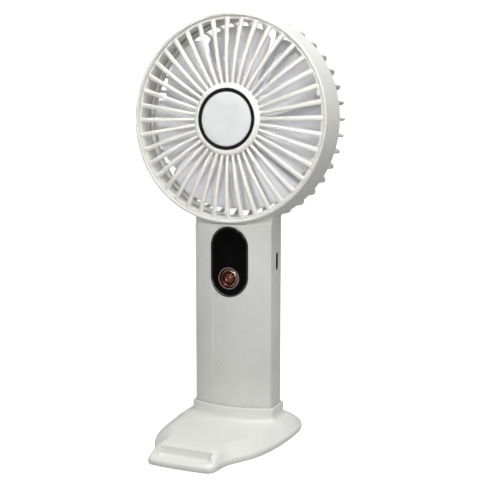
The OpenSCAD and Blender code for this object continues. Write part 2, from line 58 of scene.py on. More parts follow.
handle_low, handle_high = node_box("front_housing")
cover_high = node_box("handle_back")[1]
foot_low, foot_high = node_box("stand_shell")
head_z = sum(corner.z for corner in node_box("motor_shaft")) / 2
handle_half = cover_high.x                  # half of the handle's width
handle_back_y = cover_high.y                # the handle's back; its front lies as far the other way
handle_bottom = handle_low.z
bow = 5.2                                   # how far the front and back faces stand out past the flat sides
bow_r = (handle_half ** 2 + bow ** 2) / (2 * bow)
collar_wall = 1.4
socket_gap = 0.3
slot_half = 13.4
slot_wall = 58.0
slot_floor = 3.0
lip_top = 3.9


def spread(start, end, steps):
    """Evenly spaced values from start to end, both included."""
    return [start + (end - start) * k / steps for k in range(steps + 1)]


def handle_outline(grow=0.0, corner=1.0):
    """Points round the handle's section, from the middle of its front: bowed faces, flat sides, round corners."""
    radius = corner + grow
    middle_y = bow_r - handle_back_y
    x = handle_half + grow - radius
    y = middle_y - sqrt((bow_r + grow - radius) ** 2 - x ** 2)
    turn = asin(x / (bow_r + grow - radius))
    quarter = [((bow_r + grow) * sin(a), middle_y - (bow_r + grow) * cos(a)) for a in spread(0, turn, 16)]
    quarter += [(x + radius * sin(a), y - radius * cos(a)) for a in spread(turn, pi / 2, 5)[1:]]
    right = quarter + [(px, -py) for px, py in reversed(quarter)]
    return right + [(-px, py) for px, py in reversed(right)][1:-1]


def reach(outline, x, y):
    """Where the line from the middle of an outline through a point crosses that outline."""
    for (ax, ay), (bx, by) in zip(outline, outline[1:] + outline[:1]):
        across = x * (by - ay) - y * (bx - ax)
        if abs(across) < 1e-9:
            continue
        along = (ax * (by - ay) - ay * (bx - ax)) / across
        share = (y * ax - x * ay) / across
        if along > 0 and -1e-6 <= share <= 1 + 1e-6:
            return x * along, y * along
    raise ValueError("the line misses the outline")


def bezier(a, b, c, d, t):
    return tuple((1 - t) ** 3 * p + 3 * (1 - t) ** 2 * t * q + 3 * (1 - t) * t * t * r + t ** 3 * s
                 for p, q, r, s in zip(a, b, c, d))


def smooth_line(points, steps):
    """A smooth curve through points, with this many steps between each two of them."""
    line = []
    for i in range(len(points) - 1):
        a, b, c, d = points[max(i - 1, 0)], points[i], points[i + 1], points[min(i + 2, len(points) - 1)]
        line += [tuple(0.5 * (2 * q + (r - p) * t + (2 * p - 5 * q + 4 * r - s) * t * t + (3 * q - p - 3 * r + s) * t ** 3)
                       for p, q, r, s in zip(a, b, c, d)) for t in (k / steps for k in range(steps))]
    return line + [points[-1]]


def quarter_round(radius, steps=4):
    """(across, up) along a quarter of a round from upright to level."""
    return [(radius * (1 - cos(a)), radius * (sin(a) - 1)) for a in spread(0, pi / 2, steps)]


def take(name):
    """Names the object that was just added."""
    piece = bpy.context.object
    piece.name = piece.data.name = name
    return piece


def place_ring(piece, points):
    """Puts the selected ring of vertices on its points, given in millimetres."""
    edit = bmesh.from_edit_mesh(piece.data)
    order = edit.verts.layers.int["order"]
    ring = sorted((v for v in edit.verts if v.select), key=lambda v: v[order])
    for vertex, point in zip(ring, points):
        vertex.co = Vector(point) * mm
    bmesh.update_edit_mesh(piece.data)


def start_ring(name, points):
    """A circle primitive with a vertex on each point, left in edit mode and selected."""
    bpy.ops.object.select_all(action="DESELECT")
    bpy.ops.mesh.primitive_circle_add(vertices=len(points), radius=mm)
    piece = take(name)
    bpy.ops.object.mode_set(mode="EDIT")
    edit = bmesh.from_edit_mesh(piece.data)
    order = edit.verts.layers.int.new("order")
    for i, vertex in enumerate(edit.verts):
        vertex[order] = i
    place_ring(piece, points)
    return piece


def close_up(piece, gap=0.001):
    """Merges doubled vertices, turns the faces outwards and leaves edit mode."""
    bpy.ops.mesh.select_all(action="SELECT")
    bpy.ops.mesh.remove_doubles(threshold=gap * mm)
    bpy.ops.mesh.normals_make_consistent(inside=False)
    bpy.ops.object.mode_set(mode="OBJECT")
    piece.data.attributes.remove(piece.data.attributes["order"])
    return piece


def loft(name, rings, hoop=False):
    """A skin drawn over rings of points by extruding one into the next. A hoop's last ring meets its first."""
    piece = start_ring(name, rings[0])
    bpy.ops.mesh.edge_face_add()
    for ring in rings[1:]:
        bpy.ops.mesh.extrude_region_move()
        place_ring(piece, ring)
    if hoop:
        bpy.ops.mesh.select_all(action="DESELECT")
        edit = bmesh.from_edit_mesh(piece.data)
        for face in edit.faces:
            face.select = len(face.verts) == len(rings[0])
        bmesh.update_edit_mesh(piece.data)
        bpy.ops.mesh.delete(type="ONLY_FACE")
    return close_up(piece)


def cut(piece, *cutters):
    """Cuts each cutter's shape out of a piece, and drops the cutter."""
    for cutter in cutters:
        tool = piece.modifiers.new("cut", "BOOLEAN")
        tool.operation = "DIFFERENCE"
        tool.solver = "EXACT"
        tool.object = cutter
        bpy.context.view_layer.objects.active = piece
        bpy.ops.object.modifier_apply(modifier="cut")
        bpy.data.objects.remove(cutter)
    return piece


def soften(piece, width=0.0, segments=2, angle=40):
    """Rounds the edges sharper than an angle by width millimetres, and shades the rest smooth."""
    bpy.ops.object.select_all(action="DESELECT")
    piece.select_set(True)
    bpy.context.view_layer.objects.active = piece
    if width:
        edge = piece.modifiers.new("edge", "BEVEL")
        edge.width = width * mm
        edge.segments = segments
        edge.limit_method = "ANGLE"
        edge.angle_limit = radians(angle)
        bpy.ops.object.modifier_apply(modifier="edge")
    bpy.ops.object.shade_smooth_by_angle(angle=radians(angle))
    return piece


# Half of the foot's outline, from the middle of its nose round to the middle of its rear edge
foot_curves = (
    ((0, -66.8), (5, -66.8), (9.6, -66.6), (13.2, -66.2), 12),
    ((13.2, -66.2), (16.3, -65.6), (17, -63), (17.2, -59.5), 18),
    ((17.2, -59.5), (17.8, -52), (20.6, -49.8), (23.9, -44), 20),
    ((23.9, -44), (29.2, -35.5), (31.9, -20), (31.9, 0), 44),
    ((31.9, 0), (32, 10), (29, 17.5), (23, 19.6), 26),
    ((23, 19.6), (16, 21.4), (8, 21.6), (0, 21.6), 16))
foot_half = [bezier(*ends, k / steps) for *ends, steps in foot_curves for k in range(steps)]
foot_outline = foot_half + [foot_curves[-1][3]] + [(-x, y) for x, y in reversed(foot_half[1:])]
collar_outline = handle_outline(collar_wall, -0.2)
collar_top = foot_high.z
collar_lip = 0.6                            # radius on the collar's edge
edge_in, edge_height = 0.95, 3.3            # where the foot's rounded edge ends and its slope begins
plateau = 7.4
flare = 2.4                                 # fillet at the foot of the collar
step_front, step_back = -61.8, -59.0        # the nose steps down here to a low plate


def nose_limit(y):
    """Greatest height of the foot at a distance in front of the handle's middle."""
    share = min(max((y - step_front) / (step_back - step_front), 0), 1)
    return lip_top + (plateau + 8 - lip_top) * share ** 2 * (3 - 2 * share) if y < step_back else collar_top


def foot_section(length):
    """(distance inwards, height) from the foot's lower edge, over its slope, up to the collar and its lip."""
    slope_end = min(length - flare, 11.5)
    run = slope_end - edge_in
    side = [(0.4, foot_low.z), (0.03, 0.7), (0, 1.9), (0.3, 2.75)]
    side += [(edge_in + f * run, edge_height + (plateau - edge_height) * f * (2 - f)) for f in spread(0, 1, 6)]
    return (smooth_line(side, 3) + [(slope_end + f * (length - flare - slope_end), plateau) for f in spread(0,
                                                                                                            1, 6)[1:]]
            + [(length - flare * (1 - sin(a)), plateau + flare * (1 - cos(a))) for a in spread(0, pi / 2, 8)[1:]]
            + [(length + across, collar_top + up) for across, up in quarter_round(collar_lip, 5)]
            + [(length + 6, collar_top)])


foot_lines = []
for x, y in foot_outline:
    wall_x, wall_y = reach(collar_outline, x, y)
    length = hypot(x - wall_x, y - wall_y)
    line = []
    for inwards, height in foot_section(length):
        point_y = y + (wall_y - y) * inwards / length
        line.append((x + (wall_x - x) * inwards / length, point_y, min(height, nose_limit(point_y))))
    foot_lines.append(line)
foot_shell = loft("foot_shell", [list(ring) for ring in zip(*foot_lines)])

# Socket for the handle, its mouth eased by a small round
mouth = [(socket_gap + across, collar_top + up) for across, up in quarter_round(collar_lip)]
socket_rings = [(socket_gap, handle_bottom), *mouth, (socket_gap + collar_lip, collar_top + 5)]
cut(foot_shell, loft("socket", [[(x, y, z) for x, y in handle_outline(grow)] for grow, z in socket_rings]))

# Phone slot: a groove with a rounded floor, and a tall rear wall with a rounded edge
nose_line = [(y, z) for x, y, z in foot_lines[0]]
slot_edge = 0.5                             # radius on the slot's edges
slot_front = -slot_wall - 5


def nose_height(y):
    """Height of the foot's skin above a place along the middle of its nose."""
    for (ay, az), (by, bz) in zip(nose_line, nose_line[1:]):
        if az > 2 and ay <= y <= by:
            return az + (bz - az) * (y - ay) / max(by - ay, 1e-9)
    return nose_line[0][1]


wall_top = nose_height(-slot_wall)
slot_side = [(-slot_wall + slot_edge, wall_top + 5)]
slot_side += [(-slot_wall + across, wall_top + up) for across, up in reversed(quarter_round(slot_edge))]
slot_side += [(-slot_wall - 0.6 * (1 - cos(a)), slot_floor + 0.6 * (1 - sin(a))) for a in spread(0, pi / 2, 4)]
slot_side += [(slot_front + 0.4, slot_floor), (slot_front + 0.15, slot_floor + 0.12), (slot_front, slot_floor + 0.4)]
slot_side += [(slot_front - across, lip_top + up) for across, up in quarter_round(0.35, 3)]
slot_side += [(slot_front - 0.35, wall_top + 5)]
cut(foot_shell, loft("slot", [[(x, y, z) for y, z in slot_side] for x in (-slot_half, slot_half)]))
for side in (-1, 1):
    rounding = [[(side * (slot_half + across), y, nose_height(y) + up) for across, up in
                 [(-0.3, 3), (-0.3, -slot_edge - 0.2), *quarter_round(slot_edge), (slot_edge + 0.3, 0.3),
                  (slot_edge + 0.3, 3)]] for y in spread(slot_front + 0.5, -slot_wall + 0.2, 10)]
    cut(foot_shell, loft("slot_end", rounding))

# Recess underneath for the cover
cover_high_z = node_box("stand_cover")[1].z


def inset_outline(outline, inset):
    """An outline moved inwards, square to itself."""
    moved = []
    for i, (x, y) in enumerate(outline):
        (ax, ay), (bx, by) = outline[i - 1], outline[(i + 1) % len(outline)]
        run = hypot(bx - ax, by - ay)
        moved.append((x - (by - ay) / run * inset, y + (bx - ax) / run * inset))
    return moved


recess = inset_outline(foot_outline, 2.2)
cut(foot_shell, loft("cover_recess", [[(x, y, z) for x, y in recess] for z in (-1, cover_high_z)]))
soften(foot_shell)


def linear(code):
    """A colour given as an sRGB hex value, turned to linear."""
    parts = [int(code[i:i + 2], 16) / 255 for i in (1, 3, 5)]
    return tuple(p / 12.92 if p <= 0.04045 else ((p + 0.055) / 1.055) ** 2.4 for p in parts) + (1.0,)


def add(tree, kind, inputs=None, **settings):
    """Adds a node, with its settings, and with values or links for its inputs."""
    item = tree.nodes.new(kind)
    for key, value in settings.items():
        setattr(item, key, value)
    for key, value in (inputs or {}).items():
        if isinstance(value, bpy.types.NodeSocket):
            tree.links.new(value, item.inputs[key])
        else:
            item.inputs[key].default_value = value
    return item


def new_material(name):
    """An empty material, its node tree and its object coordinates."""
    material = bpy.data.materials.new(name)
    material.use_nodes = True
    material.node_tree.nodes.clear()
    return material, material.node_tree, add(material.node_tree, "ShaderNodeTexCoord").outputs["Object"]


def end_material(tree, inputs):
    """The shader that closes a material."""
    shader = add(tree, "ShaderNodeBsdfPrincipled", inputs)
    add(tree, "ShaderNodeOutputMaterial", {"Surface": shader.outputs["BSDF"]})


def moulded_abs(name, light, shade, roughness, grain=0.35, depth=0.02, coat=0.0, shine=0.5):
    """ABS from a polished or finely eroded steel mould: an even tone with a faint drift, and a skin finer than it looks.
    The eroded grain is about a tenth of a millimetre, and is drawn a third of one so that it shows."""
    material, tree, place = new_material(name)
    drift = add(tree, "ShaderNodeTexNoise", {"Vector": place, "Scale": 1 / (22 * mm), "Detail": 3.0})
    tone = add(tree, "ShaderNodeValToRGB", {"Fac": drift.outputs["Fac"]})
    tone.color_ramp.elements[0].position, tone.color_ramp.elements[0].color = 0.35, linear(shade)
    tone.color_ramp.elements[1].position, tone.color_ramp.elements[1].color = 0.65, linear(light)
    handled = add(tree, "ShaderNodeTexNoise", {"Vector": place, "Scale": 1 / (9 * mm), "Detail": 4.0})
    sheen = add(tree, "ShaderNodeMapRange", {"Value": handled.outputs["Fac"], "To Min": roughness - 0.015,
                                             "To Max": roughness + 0.02})
    skin = add(tree, "ShaderNodeTexNoise", {"Vector": place, "Scale": 1 / (grain * mm), "Detail": 2.0})
    bump = add(tree, "ShaderNodeBump", {"Height": skin.outputs["Fac"], "Strength": 0.35, "Distance": depth * mm})
    end_material(tree, {"Base Color": tone.outputs["Color"], "Roughness": sheen.outputs["Result"], "IOR": 1.54,
                        "Normal": bump.outputs["Normal"], "Coat Weight": coat, "Coat Roughness": 0.12,
                        "Specular IOR Level": shine})
    return material


def finish_piece(piece, material, slot, body, *nodes):
    """Gives a new piece its material and the body it moves with, and hides the CAD nodes it stands for. The slot is not
    used.
    """
    piece.data.materials.clear()
    piece.data.materials.append(material)
    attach(piece, body)
    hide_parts(*nodes)


gloss_white = moulded_abs("glossy_white_abs", "#ecece7", "#eaeae5", 0.31, depth=0.005, coat=0.05)
finish_piece(foot_shell, gloss_white, "shell_white", "stand", "stand_shell")

# ---- Foot cover, screws and pad ----
# A flat white cover closes the foot from below, held by four small steel screws. A thin rubber pad is stuck over
# it, so that the foot doesn't slide.


def finish_node(node, material):
    """Gives a CAD node that stays as it is a better material."""
    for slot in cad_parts[node].material_slots:
        slot.material = material


def plain_metal(name, colour, roughness, grain=0.5, stretch=(1, 1, 1), depth=0.01):
    """Turned, rolled or plated metal: a reflection broken up by fine marks that run along the way it was worked."""
    material, tree, place = new_material(name)
    along = add(tree, "ShaderNodeMapping", {"Vector": place, "Scale": stretch})
    marks = add(tree, "ShaderNodeTexNoise", {"Vector": along.outputs["Vector"], "Scale": 1 / (grain * mm),
                                             "Detail": 3.0})
    sheen = add(tree, "ShaderNodeMapRange", {"Value": marks.outputs["Fac"], "To Min": roughness - 0.08,
                                             "To Max": roughness + 0.08})
    bump = add(tree, "ShaderNodeBump", {"Height": marks.outputs["Fac"], "Strength": 0.3, "Distance": depth * mm})
    end_material(tree, {"Base Color": linear(colour), "Metallic": 1.0, "Roughness": sheen.outputs["Result"],
                        "Normal": bump.outputs["Normal"]})
    return material


satin_white = moulded_abs("satin_white_abs", "#eeeeea", "#e8e8e3", 0.40)
plated_steel = plain_metal("zinc_plated_steel", "#b9bcc0", 0.32)
foot_pad_rubber = moulded_abs("translucent_rubber", "#cfcfca", "#c4c4be", 0.6, grain=0.8, depth=0.05)
finish_node("stand_cover", satin_white)
finish_node("stand_screws", plated_steel)
finish_node("stand_pad", foot_pad_rubber)

# ---- Rim and handle housing ----
# The rim of the head and the front and sides of the handle are one satin white ABS moulding, 1.8 mm thick. A small
# fillet joins the handle to the rim. The front face has a long opening for the panel, the right side one for USB-C.

wall = 1.8
fillet = 1.2
rim_front = -handle_low.y                   # how far the rim's front edge stands in front of the handle's middle
rim_rear_r = handle_high.x
rim_front_r = 50.0
rim_back = rim_front - 16.3
rim_edge = 0.8
split_y = handle_back_y - bow               # the back cover starts where the flat sides end


def rim_radius(y):
    """Outer radius of the rim at a distance behind the handle's middle."""
    share = (y + rim_front - rim_edge) / (rim_front - rim_edge - rim_back)
    return rim_front_r + (rim_rear_r - rim_front_r) * min(max(share, 0), 1)


def lathe(name, outline, x=0.0, z=head_z, steps=160):
    """Turns an outline of (radius, distance forwards) points round an axis that runs from front to back."""
    piece = start_ring(name, [(x + radius, -forwards, z) for radius, forwards in outline])
    bpy.ops.mesh.spin(steps=steps, angle=2 * pi, center=(x * mm, 0, z * mm), axis=(0, 1, 0), use_auto_merge=True)
    close_up(piece)
    return piece


def block(name, low, high):
    """A box between two corners, for cutting."""
    (ax, ay, az), (bx, by, bz) = low, high
    return loft(name, [[(ax, ay, z), (bx, ay, z), (bx, by, z), (ax, by, z)] for z in (az, bz)])


def rod(name, radius, y0, y1, x, z, steps=48):
    """A round bar from front to back, for cutting."""
    return lathe(name, [(0, -y0), (radius, -y0), (radius, -y1), (0, -y1)], x, z, steps)


def join(*pieces):
    """Makes several pieces one, under the first one's name."""
    bpy.ops.object.select_all(action="DESELECT")
    for piece in pieces:
        piece.select_set(True)
    bpy.context.view_layer.objects.active = pieces[0]
    bpy.ops.object.join()
    return pieces[0]


def handle_ring(grow, gap):
    """A ring of the handle just below the rim: grown outwards, and at a distance from the rim's skin."""
    ring = []
    for (x, y), (wide_x, wide_y) in zip(handle_outline(), handle_outline(grow)):
        under_rim = min(max((4 + rim_back * -1 - y) / 3, 0), 1)
        x, y = x + (wide_x - x) * under_rim, y + (wide_y - y) * under_rim
        ring.append((x, y, head_z - sqrt((rim_radius(y) + gap) ** 2 - x ** 2)))
    return ring


def handle_solid(name):
    """The whole handle, with both its faces, up to inside the rim."""
    rings = [[(x, y, handle_bottom + up) for x, y in handle_outline(-inset)]
             for inset, up in [(0.6, 0), (0.18, 0.18), (0, 0.6)]]
    rings += [handle_ring(across, -up) for across, up in quarter_round(fillet, 5)]
    rings += [[(x, y, 116) for x, y, z in rings[-1]]]
    return loft(name, rings)


def handle_space(name):
    """The room inside the handle, closed at its top by a wall under the head."""
    room = loft(name, [[(x, y, z) for x, y in handle_outline(-wall, wall + 0.3)] for z in (handle_bottom + wall,
                                                                                           116)])
    return cut(room, rod("ceiling", rim_rear_r + wall, -50, 50, 0, head_z, 160))


panel_low, panel_high = node_box("panel_bezel")
panel_z = (panel_low.z + panel_high.z) / 2
panel_half_w = panel_high.x - 0.5
panel_half_h = (panel_high.z - panel_low.z) / 2 - 0.5


def panel_outline(grow=0.0):
    """(x, z) points round the long panel, two straight sides between two half rounds."""
    radius = panel_half_w + grow
    reach_z = panel_half_h - panel_half_w
    top = [(radius * cos(a), panel_z + reach_z + radius * sin(a)) for a in spread(0, pi, 24)]
    return top + [(-x, 2 * panel_z - z) for x, z in top]


def panel_cutter(grow, y0, y1):
    return loft("panel_hole", [[(x, y, z) for x, z in panel_outline(grow)] for y in (y0, y1)])


usb_low, usb_high = node_box("usb_port")
usb_y, usb_z = (usb_low.y + usb_high.y) / 2, (usb_low.z + usb_high.z) / 2


def usb_ring(grow, x):
    """The long round outline of the USB-C opening."""
    radius, reach_z = 1.6 + grow, 2.95
    top = [(x, usb_y + radius * cos(a), usb_z + reach_z + radius * sin(a)) for a in spread(0, pi, 12)]
    return top + [(px, 2 * usb_y - y, 2 * usb_z - z) for px, y, z in top]


housing = handle_solid("rim_and_handle")
hollow_r = [(0, 30), (rim_front_r - 0.9, 30), (rim_front_r - 0.9, rim_front - rim_edge),
            (rim_rear_r - 0.9, rim_back), (rim_rear_r - 0.9, -30), (0, -30)]
usb_mouth = [usb_ring(grow, handle_half + out) for grow, out in ((0.3, 0.5), (0.1, 0), (0, -0.12), (0, -0.25),
                                                                 (0.7, -0.6), (0.7, -4))]
cut(housing, lathe("head_room", hollow_r), handle_space("room"),
    block("rear_half", (-40, split_y, -5), (40, 40, 130)),
    panel_cutter(0.5, -20, -handle_back_y + 2.4), panel_cutter(-1.2, -20, -handle_back_y + 4),
    loft("usb_hole", usb_mouth))
neck_z = 104.2                              # the bowed front face ends here; the neck above it stands back
neck_step = 1.2
front_bow = [(x, y) for x, y in handle_outline(-neck_step) if y < -split_y + neck_step]
front_bow = sorted(front_bow)
neck = [(-40, -split_y + 1), (-handle_half, -split_y + 1), *front_bow, (handle_half, -split_y + 1), (40,
                                                                                                     -split_y + 1),
        (40, -40), (-40, -40)]
cut(housing, loft("neck", [[(x, y, z) for x, y in neck] for z in (neck_z, 130)]))
rim_outline = [(rim_rear_r, rim_back), (rim_front_r, rim_front - rim_edge)]
rim_outline += [(rim_front_r - rim_edge + rim_edge * cos(a), rim_front - rim_edge + rim_edge * sin(a))
                for a in spread(0, pi, 8)[1:]]
rim_outline += [(rim_front_r - 1.6, rim_front - 6), (rim_front_r - 2.4, rim_front - 6), (rim_rear_r - wall, rim_back)]
rim = lathe("rim", rim_outline, steps=240)
soften(housing, 0.12)
soften(rim)
join(housing, rim)
finish_piece(housing, satin_white, "shell_white", "fan", "front_housing")

# ---- Back cover ----
# The back of the handle is a separate bowed cover in the same white ABS. Four screws in deep round recesses hold it
# to bosses in the housing.

back_cover = handle_solid("back_cover")
cut(back_cover, rod("head_room", rim_rear_r, -50, 50, 0, head_z, 160), handle_space("room"),
    block("front_half", (-40, -40, -5), (40, split_y, 130)))
screw_low, screw_high = node_box("handle_screws")
screw_places = [(x, z) for x in (screw_low.x + 1.9, screw_high.x - 1.9) for z in (screw_low.z + 1.9,
                                                                                  screw_high.z - 1.9)]
for x, z in screw_places:
    cut(back_cover, lathe("recess", [(0, -7.2), (2.05, -7.2), (2.05, -9.2), (2.3, -12), (2.3, -20), (0, -20)],
                          x, z, 48))
soften(back_cover, 0.12)
finish_piece(back_cover, satin_white, "shell_white", "fan", "handle_back")
finish_node("handle_screws", plated_steel)

# ---- Battery, boards and leads ----
# A lithium cell in a shrunk PVC sleeve fills the handle. Above it a green glass-fibre board carries the charger, the
# fan's driver, the display and the push switch.

sleeve = moulded_abs("shrunk_pvc_sleeve", "#3f6fb0", "#37639f", 0.35, grain=1.2)
board_green = moulded_abs("green_solder_mask", "#1c5a33", "#154a29", 0.3, grain=1.0, coat=0.4)
chip_black = moulded_abs("black_epoxy", "#1d1d1e", "#161617", 0.55)
red_pvc = moulded_abs("red_pvc", "#b3231c", "#a01d17", 0.42)
black_pvc = moulded_abs("black_pvc", "#1a1a1a", "#121212", 0.45)
diffuser_white = moulded_abs("milky_polycarbonate", "#e4e4df", "#dadad4", 0.35)
plunger_grey = moulded_abs("grey_pom", "#b9b9b4", "#aeaea8", 0.42)
finish_node("battery_cell", sleeve)
finish_node("main_board", board_green)
finish_node("board_chips", chip_black)
finish_node("board_screws", plated_steel)
finish_node("battery_leads", red_pvc)
finish_node("motor_leads", black_pvc)
finish_node("display_module", diffuser_white)
finish_node("tact_switch", chip_black)
finish_node("switch_plunger", plunger_grey)
# The USB-C port's nickel-plated shell is drawn near black, as painted shade for the inside of its opening
finish_node("usb_port", plain_metal("usb_port_painted_shade", "#0c0c0d", 0.45))

# ---- Motor ----
# A brushless motor hangs from the hub of the rear guard: a zinc base with its bush, a wound nine-tooth stator and
# a small sensor board. Two ball bearings carry the shaft.

copper = plain_metal("enamelled_copper_wire", "#a8562c", 0.3, grain=0.3, stretch=(1, 1, 8))
core_steel = plain_metal("electrical_steel", "#6a6c70", 0.45)
die_cast_zinc = plain_metal("die_cast_zinc", "#9fa2a6", 0.42, grain=0.8)
bearing_steel = plain_metal("ground_bearing_steel", "#c3c5c8", 0.18)
magnet_grey = moulded_abs("bonded_ferrite", "#3a3a3d", "#303033", 0.6)
finish_node("motor_base", die_cast_zinc)
finish_node("stator_core", core_steel)
finish_node("stator_coils", copper)
finish_node("motor_board", board_green)
finish_node("motor_bearings", bearing_steel)
finish_node("motor_screws", plated_steel)
finish_node("motor_shaft", bearing_steel)
finish_node("rotor_can", plated_steel)
finish_node("magnet_ring", magnet_grey)

# ---- Fan wheel ----
# The fan wheel is one moulding in light grey ABS: seven wide, thin blades that twist round a cup, pressed over the
# motor's rotor. Their corners are round.

wheel_low, wheel_high = node_box("impeller")
blade_count = 7
blade_root_angle, blade_tip_angle = radians(72), radians(53)
blade_tip = 45.0
blade_front, blade_pitch = 4.5, 11.0        # where a blade's trailing edge lies, and how far it runs backwards
cup_r = 14.4
cup_front, cup_back = -wheel_low.y, -wheel_high.y

bpy.ops.object.select_all(action="DESELECT")
bpy.ops.mesh.primitive_grid_add(x_subdivisions=10, y_subdivisions=18, size=2)
wheel = take("fan_wheel")
for vertex in wheel.data.vertices:
    out, along = (vertex.co.x + 1) / 2, (vertex.co.y + 1) / 2
    tip = blade_tip - 2.5 * abs(2 * along - 1) ** 5
    radius = cup_r - 0.8 + out * (tip - cup_r + 0.8)
    turn = (blade_root_angle + (blade_tip_angle - blade_root_angle) * out) * (along - 0.5) + pi / 2
    forwards = blade_front - blade_pitch * along + 1.5 * sin(pi * along) * out
    vertex.co = Vector((radius * cos(turn), -forwards, head_z + radius * sin(turn))) * mm
thick = wheel.modifiers.new("thickness", "SOLIDIFY")
thick.thickness, thick.offset = 1.1 * mm, 0
bpy.ops.object.modifier_apply(modifier="thickness")
soften(wheel, 0.35, 2, 50)
bpy.ops.object.mode_set(mode="EDIT")
bpy.ops.mesh.select_all(action="SELECT")
bpy.ops.mesh.spin(steps=blade_count - 1, dupli=True, angle=2 * pi * (blade_count - 1) / blade_count,
                  center=(0, 0, head_z * mm), axis=(0, 1, 0))
bpy.ops.mesh.select_all(action="SELECT")
bpy.ops.mesh.normals_make_consistent(inside=False)
bpy.ops.object.mode_set(mode="OBJECT")
can_front = -node_box("rotor_can")[0].y
can_r = node_box("rotor_can")[1].x
cup = lathe("cup", [(1, can_front), (can_r, can_front), (can_r, cup_back), (cup_r, cup_back), (cup_r,
                                                                                               cup_front - 0.6),
                    (cup_r - 0.6, cup_front), (cup_r - 1.4, cup_front), (cup_r - 1.4, can_front + 1.6),
                    (3.2, can_front + 1.6), (3.2, can_front + 5.6), (1, can_front + 5.6)], steps=96)
soften(cup, 0.2)
join(wheel, cup)
wheel_grey = moulded_abs("pale_grey_abs", "#f3f3f7", "#efeff3", 0.42)
finish_piece(wheel, wheel_grey, "impeller_grey", "rotor", "impeller")

# ---- Rear guard ----
# The rear guard is a white ABS cage: forty thin ribs run back from a ring inside the rim, turn inwards over a large
# radius and meet at a hub that carries the motor. A hoop half way ties them together.

rear_face = 20.0
spoke_count = 40
rib_depth, rib_width = 2.6, 1.4
cage_turn = 11.0
rear_hub_r = 15.5


def bar_section(width, depth, count=12, squareness=3.2):
    """(across, deep) points round a bar with well rounded edges."""
    turns = [2 * pi * (k + 0.5) / count for k in range(count)]
    return [(copysign(abs(cos(a)) ** (2 / squareness), cos(a)) * width / 2,
             copysign(abs(sin(a)) ** (2 / squareness), sin(a)) * depth / 2) for a in turns]


def ring_of(piece, count):
    """Copies a bar round the fan's axis."""
    bpy.ops.object.select_all(action="DESELECT")
    piece.select_set(True)
    bpy.context.view_layer.objects.active = piece
    bpy.ops.object.mode_set(mode="EDIT")
    bpy.ops.mesh.select_all(action="SELECT")
    bpy.ops.mesh.spin(steps=count - 1, dupli=True, angle=2 * pi * (count - 1) / count,
                      center=(0, 0, head_z * mm), axis=(0, 1, 0))
    bpy.ops.mesh.select_all(action="SELECT")
    bpy.ops.mesh.normals_make_consistent(inside=False)
    bpy.ops.object.mode_set(mode="OBJECT")
    return piece


# The middle line of a rib: (radius, distance backwards, which way its depth points)
rib_r = rim_rear_r - rib_depth / 2
turn_r = rim_rear_r - cage_turn
rib_line = [(rib_r, back, 0.0) for back in (-rim_back + 0.3, 5, 7)]
rib_line += [(turn_r + (cage_turn - rib_depth / 2) * cos(a),
              rear_face - cage_turn + (cage_turn - rib_depth / 2) * sin(a), a)
             for a in spread(0, pi / 2, 10)]
rib_line += [(radius, rear_face - rib_depth / 2, pi / 2) for radius in spread(turn_r, rear_hub_r - 1, 4)[1:]]
rib_rings = [[(radius + deep * cos(way), back + deep * sin(way), head_z + across)
              for across, deep in bar_section(rib_width, rib_depth)] for radius, back, way in rib_line]
guard = ring_of(soften(loft("rear_guard", rib_rings), angle=60), spoke_count)


def hoop(name, inner, outer, front, back, round_by=0.3, steps=192):
    """A flat ring round the fan's axis with eased edges."""
    ring = lathe(name, [(inner, front), (outer, front), (outer, back), (inner, back)], steps=steps)
    return soften(ring, round_by)


rear_hub = lathe("rear_hub", [(0, -rear_face + 1.2), (rear_hub_r - 1.6, -rear_face + 1.2), (rear_hub_r - 1.6,
                                                                                            -rear_face - 0.4),
                              (rear_hub_r, -rear_face - 0.4), (rear_hub_r, -rear_face + 3), (0,
                                                                                             -rear_face + 3)], steps=120)
join(guard, hoop("flange", rim_rear_r - 4, rim_rear_r - 0.3, rim_back, rim_back - 1.4),
     hoop("spigot", rim_rear_r - 4, rim_rear_r - 2.6, rim_back + 3, rim_back - 1.2),
     hoop("tie", 31.1, 32.9, -rear_face + 2.2, -rear_face + 0.5, 0.5), soften(rear_hub, 0.3))
finish_piece(guard, satin_white, "shell_white", "fan", "rear_grille")
guard_cap = lathe("rear_cap_disc", [(0, -rear_face - 0.8), (rear_hub_r - 3, -rear_face - 0.8),
                                    (rear_hub_r - 1.7, -rear_face - 0.2),
                                    (rear_hub_r - 1.7, -rear_face + 1.2), (0, -rear_face + 1.2)], steps=120)
finish_piece(soften(guard_cap, 0.3, 3, 20), satin_white, "shell_white", "fan", "rear_cap")

# ---- Front guard ----
# The front guard is a white ABS moulding that snaps into the rim: forty rounded spokes bow gently forwards from a
# bevelled collar to a ring behind the rim's edge, and widen on their way out.

hub_r = 17.2
hub_face = rim_front + 0.6
grille_ring_r = rim_front_r - 1.6
grille_ring_w = 1.3
spoke_rise = 1.6
spoke_depth = 1.9
spoke_start, spoke_end = hub_r - 1, grille_ring_r - grille_ring_w / 2 + 0.1
spoke_middle = (spoke_start + spoke_end) / 2
spoke_bow_r = ((spoke_end - spoke_start) ** 2 / 4 + spoke_rise ** 2) / (2 * spoke_rise)

